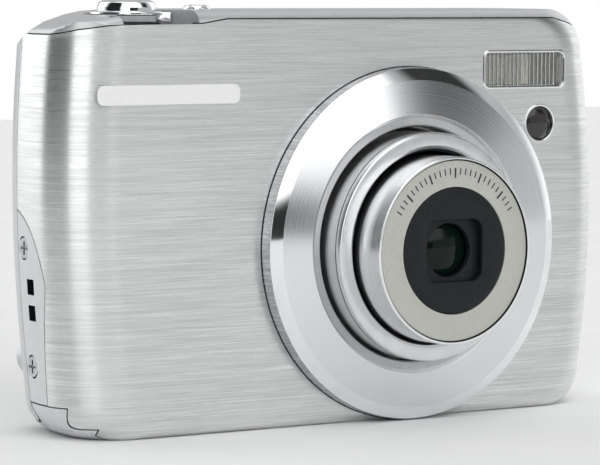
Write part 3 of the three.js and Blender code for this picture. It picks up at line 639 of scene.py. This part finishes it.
def top_plate():
    """The top cover with its deck, and the pocket that the zoom ring turns in, open to the front."""
    x, y = SHUTTER
    piece = copy_of(SHELL, "top_plate", SILVER)
    only(piece, top_zone(0))
    deck = box(x - 7, x + 7.6, -10.6, 3.6, 53.9, 56.2)
    low_deck = copy_of(deck, "low_deck")
    boolean(low_deck, CORE, "INTERSECT")
    only(deck, top_zone(0))
    boolean(deck, BODY, "INTERSECT")
    join(deck, low_deck)
    join(piece, deck)
    piece.data.materials.append(POCKET_GREY)
    pocket = [prism(circle(x, y, POCKET), POCKET_FLOOR, FAR, "Z"),
              box(x - POCKET, x + POCKET, FRONT - 1, y, POCKET_FLOOR, FAR)]
    for cutter in pocket:
        cutter.data.materials.append(POCKET_GREY)
        cutter.data.polygons.foreach_set("material_index", [1] * len(cutter.data.polygons))
    carve(piece, *pocket, prism(circle(x, y, 4.75), 50, FAR, "Z"), prism(circle(*POWER, 2.08), 50, FAR, "Z"))
    finish_piece(piece, "camera_body", ["top_cover"])


def side_plate():
    piece = copy_of(SHELL, "side_plate", PLATE)
    only(piece, side_zone(0))
    only(piece, front_half())
    carve(piece, *[box(-FAR, -40, -3.35, -1.25, z - 1.05, z + 1.05) for z in STRAP_SLOTS],
          *[prism(circle(y, z, 1.6), -FAR, -40, "X") for y, z in SCREWS])
    finish_piece(piece, "camera_body", ["grip_side_plate"])


def door_cover():
    """The battery door: the wrapped corner, the plate on the underside and the hinge knuckle."""
    x, z = HINGE_PIN
    piece = copy_of(BODY, "door_cover", PLATE)
    only(piece, corner_zone(0))
    carve(piece, copy_of(CORE, "door_hollow"))
    plate = copy_of(BODY, "door_plate")
    only(plate, box(-43, x + 0.6, *DOOR_PLATE, -1, 1.4))
    join(piece, plate, box(x - 1, x + 0.6, *DOOR_PLATE, 0, z + 0.9))
    carve(piece, box(x + 0.6, -9, -20, 20, -1, 3), prism(circle(x, z, 0.5), -20, 20, "Y"))
    finish_piece(piece, "battery_door", ["battery_door"])


front_skin()
rear_cover()
top_plate()
side_plate()
door_cover()
drop(BODY, CORE, SHELL)

# ---------------------------------------------------------------- lens
RING_LOOKS = [BLACK, RING_WALL, CHROME, RING_SATIN, LIP]
lathe("lens_ring", [(16.35, -10.5), (16.9, -10.5), (16.9, -12.05), (24.5, -12.05), (24.38, -13.94, 0.1),
                    (22.7, -14.6, 0.1), (17.95, -14.78, 0.08), (17.5, -14.42, 0.1), (16.5, -14.36, 0.12),
                    (16.3, -14.1)],
      LENS, RING_LOOKS, "camera_body", ["lens_bezel"],
      looks=[0, 0, 0, 1, 2, 3, 2, 4, 4, 4], sides=256)
lathe("ring_gasket", [(24.0, FRONT), (RIM, FRONT), (RIM, -12.09, 0.03), (24.0, -12.09)], LENS, [GAP_BLACK],
      "camera_body", sides=256)
lathe("outer_barrel_skin", [(13.25, -3.2), (15.8, -3.2), (15.8, -17.0), (15.72, -17.1), (15.8, -17.2),
                            (15.8, -18.2, 0.3), (14.0, -18.2, 0.15), (13.6, -17.9), (13.25, -17.5)],
      BARREL_1, [BARREL, BLACK, RING_SATIN], "outer_barrel", ["outer_zoom_barrel"],
      looks=[1, 0, 1, 0, 0, 0, 2, 1, 1], sides=192)
lathe("inner_barrel_skin", [(12.45, -9.2), (12.9, -9.2), (12.9, -23.2, 0.16), (12.52, -23.2, 0.05), (12.45, -22.6)],
      BARREL_2, [BARREL, BLACK, CHROME], "inner_barrel", ["inner_zoom_barrel"],
      looks=[1, 0, 2, 1, 1], sides=192)
lathe("name_ring_face", [(8.75, -23.02, 0.06), (12.38, -23.02, 0.06), (12.38, -22.4), (8.75, -22.4)],
      BARREL_2, [CHAMPAGNE], "inner_barrel", ["name_ring"], sides=192)


def dial_marks(count=27, start=150, sweep=120):
    """Plain radial index marks over the upper arc of the name ring, one solid per mark, kept in one piece."""
    verts, faces = [], []
    for k in range(count):
        a = math.radians(start - k * sweep / (count - 1))
        long_mark = k % 5 == 3
        inner, outer, half = (10.0 if long_mark else 10.45), 11.35, (0.13 if long_mark else 0.085)
        base = len(verts)
        for y in (-23.05, -22.9):
            for r, t in ((inner, -half), (outer, -half), (outer, half), (inner, half)):
                verts.append((BARREL_2[0] + r * math.cos(a) - t * math.sin(a), y,
                              BARREL_2[1] + r * math.sin(a) + t * math.cos(a)))
        faces += [tuple(base + i for i in f) for f in
                  ((0, 1, 2, 3), (7, 6, 5, 4), (0, 4, 5, 1), (1, 5, 6, 2), (2, 6, 7, 3), (3, 7, 4, 0))]
    return mesh_object("name_ring_marks", verts, faces, INK, "inner_barrel")


dial_marks()


def ring_solid(name, outer, inner, y0, y1, edge, material, body, replaces=()):
    """A flat plate with a hole: both outlines have the same number of points; the front rim is rounded."""
    count = len(outer)
    rows = [(inner, 0, y1), (outer, 0, y1), (outer, 0, y0 + edge), (outer, edge * 0.3, y0 + edge * 0.3),
            (outer, edge, y0), (inner, -edge, y0), (inner, -edge * 0.3, y0 + edge * 0.3), (inner, 0, y0 + edge)]
    verts, faces = [], []
    for line, inset, y in rows:
        verts += [(x, y, z) for x, z in shrink(line, inset)]
    for i in range(len(rows)):
        j = (i + 1) % len(rows)
        for k in range(count):
            n = (k + 1) % count
            faces.append((i * count + k, i * count + n, j * count + n, j * count + k))
    return mesh_object(name, verts, faces, material, body, replaces)


def matched(outline, count=256):
    """Resamples an outline so that point k lies in the direction of angle k."""
    pts = np.array(outline)
    centre = (pts.min(0) + pts.max(0)) / 2
    dense = resample([tuple(p) for p in pts], 4000) - centre
    angles = np.unwrap(np.arctan2(dense[:, 1], dense[:, 0]))
    order = np.argsort(np.mod(angles, 2 * math.pi))
    found = np.mod(angles, 2 * math.pi)[order]
    at = np.linspace(0, 2 * math.pi, count, endpoint=False)
    x = np.interp(at, found, dense[order, 0], period=2 * math.pi)
    z = np.interp(at, found, dense[order, 1], period=2 * math.pi)
    return [(a + centre[0], b + centre[1]) for a, b in zip(x, z)]


ring_solid("lens_mask", circle(*BARREL_2, 8.65, 256), matched(rounded_rectangle(*BARREL_2, 9.6, 8.6, 1.7, 10)),
           -23.0, -22.42, 0.12, BLACK, "inner_barrel", ["aperture_mask"])
lathe("front_element", [(0, -21.05), (1.2, -20.98), (2.4, -20.78), (3.4, -20.45), (4.15, -20.1), (4.15, -19.3),
                        (0, -19.2)],
      BARREL_2, [LENS_GLASS], "inner_barrel", ["front_lens"], sides=128, sharp=60)
lathe("element_frame", [(3.7, -21.6, 0.1), (11.9, -21.6), (11.9, -19.0), (4.4, -19.0), (4.4, -20.8), (3.7, -20.8)],
      BARREL_2, [BLACK], "inner_barrel", ["front_lens_frame"], sides=128)

# ---------------------------------------------------------------- flash and focus lamp


def strip(columns):
    """Faces of a bar built from columns of four points each, with both ends closed."""
    faces = []
    for k in range(columns):
        a, b = 4 * k, 4 * (k + 1)
        faces += [(a + i, b + i, b + (i + 1) % 4, a + (i + 1) % 4) for i in range(4)]
    return faces + [(0, 1, 2, 3), tuple(4 * columns + i for i in (3, 2, 1, 0))]


def ribbed_window(columns=180, pitch=0.72, relief=0.22):
    """The flash window: a clear plate whose back face is moulded into upright ribs."""
    x, z, w, h = FLASH[0], FLASH[1], FLASH[2] - 0.3, FLASH[3] - 0.3
    verts = []
    for k in range(columns + 1):
        u = -w / 2 + w * k / columns
        rib = relief * abs(math.sin(math.pi * u / pitch)) if abs(u) < w / 2 - 0.4 else 0
        for y, v in ((-11.85, -h / 2), (-11.85, h / 2), (-10.9 + rib, h / 2), (-10.9 + rib, -h / 2)):
            verts.append((x + u, y, z + v))
    return mesh_object("flash_cover", verts, strip(columns), CLEAR, "camera_body", ["flash_window"],
                       sharp=20)


def flash_fins(pitch=0.18):
    """The corrugated sheet behind the window: pale over the left half, a bright gap, then dark upright fins."""
    x, z, w, h = FLASH[0], FLASH[1], FLASH[2] - 0.6, FLASH[3] - 0.8
    count = int(w / pitch)
    verts, looks = [], []
    for k in range(count + 1):
        depth = -10.62 + (0.08 if k % 2 else 0.0)
        for y, v in ((depth, -h / 2), (depth, h / 2), (-10.45, h / 2), (-10.45, -h / 2)):
            verts.append((x - w / 2 + k * pitch, y, z + v))
    pale, bright, dark = range(3)
    for k in range(count):
        along = k * pitch - w / 2
        look = pale if along < -0.2 else bright if along < 1.2 else dark if k % 4 < 3 else pale
        looks += [look] * 4
    return mesh_object("flash_fins", verts, strip(count), [FIN_PALE, FIN_BRIGHT, FIN_DARK], "camera_body",
                       face_materials=looks + [pale, dark])


ribbed_window()
flash_fins()
ring_solid("flash_rim", matched(rounded_rectangle(FLASH[0], FLASH[1], FLASH[2] + 0.5, FLASH[3] + 0.5, 1.0, 8)),
           matched(rounded_rectangle(FLASH[0], FLASH[1], FLASH[2] - 0.26, FLASH[3] - 0.26, 0.8, 8)),
           -12.1, -11.2, 0.12, CHROME, "camera_body")
lathe("lamp_rim", [(2.42, -11.2), (2.75, -11.2), (2.75, -12.15, 0.1), (2.42, -12.12, 0.1)], LAMP, [CHROME],
      "camera_body", sides=96)
lathe("lamp_window", [(0, -11.86), (1.2, -11.82), (2.0, -11.7), (2.38, -11.5), (2.38, -11.0), (0, -11.0)],
      LAMP, [SMOKED], "camera_body", ["lamp_lens"], sides=96, sharp=60)
lathe("lamp_cone", [(2.36, -10.6), (2.5, -10.6), (2.5, -7.0), (0.7, -7.0), (0.7, -7.4), (0.9, -7.8), (1.5, -8.8),
                    (2.0, -9.8)],
      LAMP, [BLACK], "camera_body", ["lamp_reflector"], sides=96)

# ---------------------------------------------------------------- top controls


def zoom_ring_piece():
    """The zoom ring: polished flange and conical wall, dark neck, and its square finger tab."""
    ring = lathe("zoom_ring_turned", [(4.15, 53.4), (4.55, 53.4), (4.55, 55.15), (4.3, 55.2), (4.72, 56.2, 0.1),
                                      (5.0, 56.3, 0.08), (5.0, 56.65, 0.12), (4.55, 56.82, 0.1), (4.15, 56.8, 0.08)],
                 SHUTTER, [CHROME, BLACK], None, looks=[1, 1, 1, 0, 0, 0, 0, 0, 0], sides=160, axis="Z")
    tab = box(4.3, 6.0, -1.05, 1.05, 55.4, 56.64)
    soften = tab.modifiers.new("edge", "BEVEL")
    soften.width, soften.segments = 0.16 * MM, 3
    made = bpy.data.meshes.new_from_object(tab.evaluated_get(bpy.context.evaluated_depsgraph_get()))
    tab.modifiers.clear()
    tab.data = made
    made.materials.clear()
    made.materials.append(PLATE)
    to_shutter = Matrix.Translation((SHUTTER[0] * MM, SHUTTER[1] * MM, 0))
    made.transform(to_shutter @ Matrix.Rotation(math.radians(-35), 4, "Z"))
    join(ring, tab)
    return finish_piece(ring, "zoom_ring", ["zoom_ring"], 35)


zoom_ring_piece()
lathe("shutter_cap", [(0, 52.4), (1.2, 52.4), (1.2, 54.9), (4.0, 54.9), (4.0, 57.3, 0.3), (3.75, 57.95, 0.4),
                      (3.1, 58.27, 0.6), (1.6, 58.34), (0, 58.32)],
      SHUTTER, [CHROME], "shutter_button", ["shutter_button"], sides=160, axis="Z", sharp=50)
lathe("power_cap", [(0, 54.2), (1.9, 54.2), (1.9, 57.15, 0.15), (1.6, 57.5, 0.2), (1.0, 57.58), (0, 57.5)],
      POWER, [CHROME], "power_button", ["power_button"], sides=96, axis="Z", sharp=50)

# ---------------------------------------------------------------- rear keys and screen
lathe("navigation_ring_cap", [(4.0, 8.2), (4.0, 10.1, 0.15), (4.4, 10.32, 0.2), (7.7, 10.68, 0.4),
                              (8.35, 10.45, 0.3), (8.6, 10.1), (8.6, 8.2)],
      NAVIGATION, [CHROME, SILVER], "navigation_ring", ["navigation_ring"],
      looks=[1, 1, 0, 0, 0, 1, 1], sides=160, sharp=40)
lathe("ok_cap", [(0, 10.62), (2.2, 10.66), (3.2, 10.68, 0.2), (3.7, 10.3, 0.15), (3.7, 7.4), (0, 7.4)],
      NAVIGATION, [SILVER], "ok_button", ["ok_button"], sides=128, sharp=45)
for key, place in KEYS.items():
    lathe(key + "_cap", [(0, 10.42), (1.4, 10.48), (2.3, 10.42, 0.3), (2.7, 10.0, 0.15), (2.7, 7.6), (0, 7.6)],
          place, [SILVER], key, [key], sides=96, sharp=45)
prism(rounded_rectangle(*SCREEN, 58.7, 46.7, 1.5), 8.8, 9.98, "Y", "screen_glass_plate", SCREEN_GLASS,
      "camera_body", ["screen_window"])
prism(rounded_rectangle(*SCREEN, 54.0, 40.5, 0.4), 9.9, 10.0, "Y", "screen_display", DISPLAY,
      "camera_body")

# ---------------------------------------------------------------- floor and light
REACH, BELOW = 900, -0.02
FLOOR = surface("pale_floor", (0.93, 0.93, 0.93), (0.96, 0.96, 0.96), 0.7, 0.0, 20, 0)
floor = mesh_object("floor", [(x, y, BELOW) for x, y in ((-REACH, -REACH), (REACH, -REACH), (REACH, REACH),
                                                         (-REACH, REACH))], [(0, 1, 2, 3)], FLOOR)

world = bpy.data.worlds.new("studio")
SCENE.world = world
world.use_nodes = True
sky = world.node_tree
sky.nodes.clear()
ray = node(sky, "ShaderNodeSeparateXYZ", {0: node(sky, "ShaderNodeTexCoord").outputs["Generated"]})
DEGREES = 180 / math.pi
towards_front = math_node(sky, "MULTIPLY", ray.outputs[1], -1.0)
turn = math_node(sky, "MULTIPLY", math_node(sky, "ARCTAN2", ray.outputs[0], towards_front), DEGREES)
rise = node(sky, "ShaderNodeMath", {0: ray.outputs[2]}, operation="ARCSINE").outputs[0]
lift = math_node(sky, "MULTIPLY", rise, DEGREES)


def step(value, edge, soft):
    """Rises from 0 to 1 as value passes edge."""
    ramp = node(sky, "ShaderNodeMapRange", {"Value": value, "From Min": edge - soft, "From Max": edge + soft},
                interpolation_type="SMOOTHSTEP")
    return ramp.outputs["Result"]


def band(value, low, high, soft):
    """1 while value is between low and high."""
    return math_node(sky, "MULTIPLY", step(value, low, soft), math_node(sky, "SUBTRACT", 1.0, step(value, high, soft)))


def patch(low, high, down, up, soft, lift_soft):
    """1 inside a box of directions: low and high are bearings from the front, down and up are elevations."""
    return math_node(sky, "MULTIPLY", band(turn, low, high, soft), band(lift, down, up, lift_soft))


def blend_to(level, mask, value):
    """Takes the level towards value where mask is 1."""
    return math_node(sky, "ADD", math_node(sky, "MULTIPLY", level, math_node(sky, "SUBTRACT", 1.0, mask)),
                     math_node(sky, "MULTIPLY", mask, value))


ROOM = 0.50      # brightness of the plain room
PATCHES = [      # bearing from, to; elevation from, to; brightness; softness across, along
    (-200, 200, 64, 91, 1.5, 4, 6),
    (-200, 200, -91, -12, 0.66, 4, 8),
    (-54, 33, 10, 66, 1.6, 4, 3),
    (-54, -20, -40, 10, 1.9, 3, 3),
    (-20, 12, -6, 8, 0.03, 3, 2),
    (-118, -57, -16, 70, 0.02, 5, 6),
    (-195, -128, -30, 50, 1.5, 5, 6),
    (40, 63, 10, 68, 0.04, 4, 4),
    (80, 130, -30, 40, 1.1, 6, 6),
]
level = ROOM
for low, high, down, up, value, soft, lift_soft in PATCHES:
    level = blend_to(level, patch(low, high, down, up, soft, lift_soft), value)
out = node(sky, "ShaderNodeOutputWorld")
seen = node(sky, "ShaderNodeBackground", {"Color": (1, 1, 1, 1), "Strength": 1.0})
room = node(sky, "ShaderNodeBackground", {"Color": (1, 1, 1, 1), "Strength": level})
path = node(sky, "ShaderNodeLightPath")
pick = node(sky, "ShaderNodeMixShader", {0: path.outputs["Is Camera Ray"], 1: room.outputs[0], 2: seen.outputs[0]})
sky.links.new(pick.outputs[0], out.inputs["Surface"])

# ---------------------------------------------------------------- camera
camera_data = bpy.data.cameras.new("camera")
camera_data.sensor_width = 36
camera_data.lens = 211.74
camera_data.clip_start = 0.01
camera = bpy.data.objects.new("camera", camera_data)
SCENE.collection.objects.link(camera)
RIGHTWARD = Vector((0.82034442, -0.57184899, 0.00487409))
UPWARD = Vector((0.03739647, 0.06214794, 0.9973661))
BACKWARD = Vector((-0.57064571, -0.81800145, 0.07236785))
STAND = (-0.2825, -0.4053, 0.0615)
aim = Matrix((RIGHTWARD, UPWARD, BACKWARD)).transposed().to_4x4()
camera.matrix_world = Matrix.Translation(STAND) @ aim
SCENE.camera = camera
SCENE.view_settings.view_transform = "Standard"
